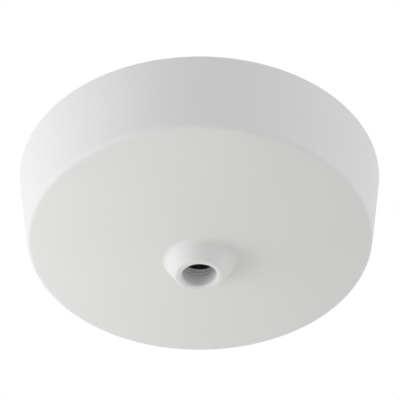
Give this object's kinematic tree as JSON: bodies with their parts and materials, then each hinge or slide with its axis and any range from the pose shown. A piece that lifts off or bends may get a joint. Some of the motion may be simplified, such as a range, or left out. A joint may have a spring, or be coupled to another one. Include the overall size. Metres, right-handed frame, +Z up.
{
  "type": "electrical ceiling rose",
  "caption": "Round white ceiling rose with a domed screw-on cover and a cone-shaped flex outlet over a base with brass loop-in terminals and slotted ceiling fixings.",
  "frame": {"origin": "centre of the rose on the ceiling plane, where the back of the base seats", "axes": "+Z up into the ceiling, X along the line of the two fixing slots, the flex outlet points to -Z"},
  "size_m": [0.0998, 0.0998, 0.0338],
  "materials": {
    "white_moulding": "smooth satin-gloss white moulding",
    "base_moulding": "satin off-white moulding",
    "shroud_moulding": "satin white moulding",
    "brass": "bright drawn brass",
    "plated_screw": "bright zinc plate"
  },
  "bodies": {
    "base": {"base": "base_moulding", "loop_shroud": "shroud_moulding", "neutral_terminal": "brass", "neutral_terminal_screws": "plated_screw", "loop_terminal": "brass", "loop_terminal_screws": "plated_screw", "switched_line_terminal": "brass", "switched_line_terminal_screws": "plated_screw", "earth_terminal": "brass", "earth_terminal_screws": "plated_screw"},
    "cover": {"cover": "white_moulding"}
  },
  "joints": [
    {"name": "cover_lower", "type": "slide", "parent": "base", "child": "cover", "axis": [0, 0, -1], "range_m": [0, 0.06]}
  ]
}
